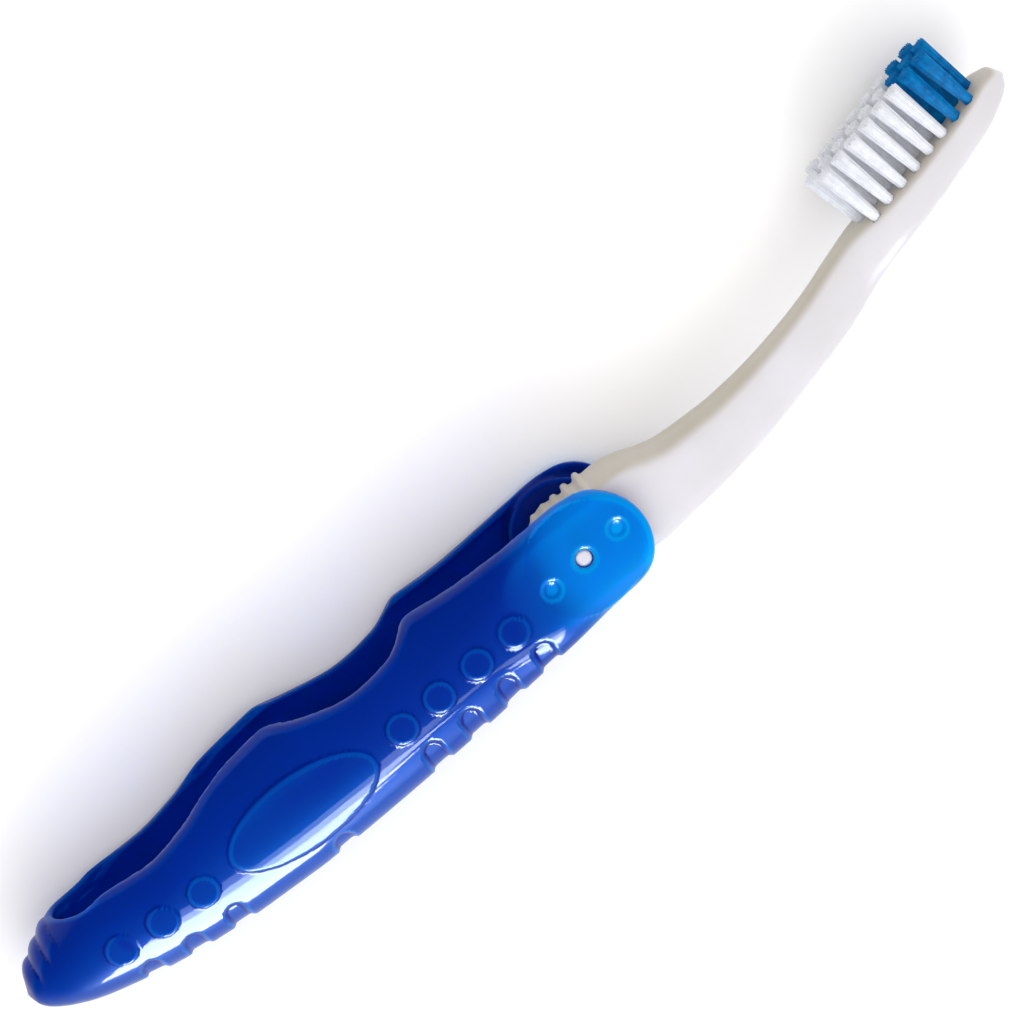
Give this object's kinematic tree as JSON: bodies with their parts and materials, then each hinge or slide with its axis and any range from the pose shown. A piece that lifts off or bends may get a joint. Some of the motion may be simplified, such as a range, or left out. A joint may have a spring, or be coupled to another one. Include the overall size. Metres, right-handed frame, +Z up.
{
  "type": "folding travel toothbrush",
  "caption": "Folding travel toothbrush: a curved brush swings on side trunnions out of a hollow, translucent oval handle and folds back into its channel.",
  "frame": {"origin": "centre of the base of the bounding box of the opened brush lying on its side: the origin is on the surface it lies on", "axes": "+X along the handle from its closed nose through the pivot towards the brush head; +Y the side that the handle's opening and the bristles face; +Z up, parallel to the pivot axis"},
  "size_m": [0.1804, 0.0436, 0.02],
  "materials": {
    "blue_translucent_plastic": "clear-tinted translucent moulding, polished",
    "white_plastic": "satin moulded, opaque",
    "white_nylon": "fine extruded filament",
    "blue_nylon": "fine extruded filament, dyed",
    "anchor_metal": "drawn flat wire, cut"
  },
  "bodies": {
    "handle": {"handle_shell": "blue_translucent_plastic"},
    "brush": {"brush_body": "white_plastic", "tuft_upper_1": "white_nylon", "tuft_upper_2": "white_nylon", "tuft_upper_3": "white_nylon", "tuft_upper_4": "white_nylon", "tuft_upper_5": "white_nylon", "tuft_upper_6": "white_nylon", "tuft_upper_7": "blue_nylon", "tuft_upper_8": "blue_nylon", "tuft_middle_1": "white_nylon", "tuft_middle_2": "white_nylon", "tuft_middle_3": "white_nylon", "tuft_middle_4": "white_nylon", "tuft_middle_5": "white_nylon", "tuft_middle_6": "white_nylon", "tuft_middle_7": "blue_nylon", "tuft_middle_8": "blue_nylon", "tuft_middle_9": "blue_nylon", "tuft_lower_1": "white_nylon", "tuft_lower_2": "white_nylon", "tuft_lower_3": "white_nylon", "tuft_lower_4": "white_nylon", "tuft_lower_5": "white_nylon", "tuft_lower_6": "white_nylon", "tuft_lower_7": "blue_nylon", "tuft_lower_8": "blue_nylon", "anchor_upper_1": "anchor_metal", "anchor_upper_2": "anchor_metal", "anchor_upper_3": "anchor_metal", "anchor_upper_4": "anchor_metal", "anchor_upper_5": "anchor_metal", "anchor_upper_6": "anchor_metal", "anchor_upper_7": "anchor_metal", "anchor_upper_8": "anchor_metal", "anchor_middle_1": "anchor_metal", "anchor_middle_2": "anchor_metal", "anchor_middle_3": "anchor_metal", "anchor_middle_4": "anchor_metal", "anchor_middle_5": "anchor_metal", "anchor_middle_6": "anchor_metal", "anchor_middle_7": "anchor_metal", "anchor_middle_8": "anchor_metal", "anchor_middle_9": "anchor_metal", "anchor_lower_1": "anchor_metal", "anchor_lower_2": "anchor_metal", "anchor_lower_3": "anchor_metal", "anchor_lower_4": "anchor_metal", "anchor_lower_5": "anchor_metal", "anchor_lower_6": "anchor_metal", "anchor_lower_7": "anchor_metal", "anchor_lower_8": "anchor_metal"}
  },
  "joints": [
    {"name": "fold_hinge", "type": "hinge", "parent": "handle", "child": "brush", "pos_m": [0.006, -0.00616, 0.01], "axis": [0, 0, 1], "range_deg": [0, 167]}
  ]
}
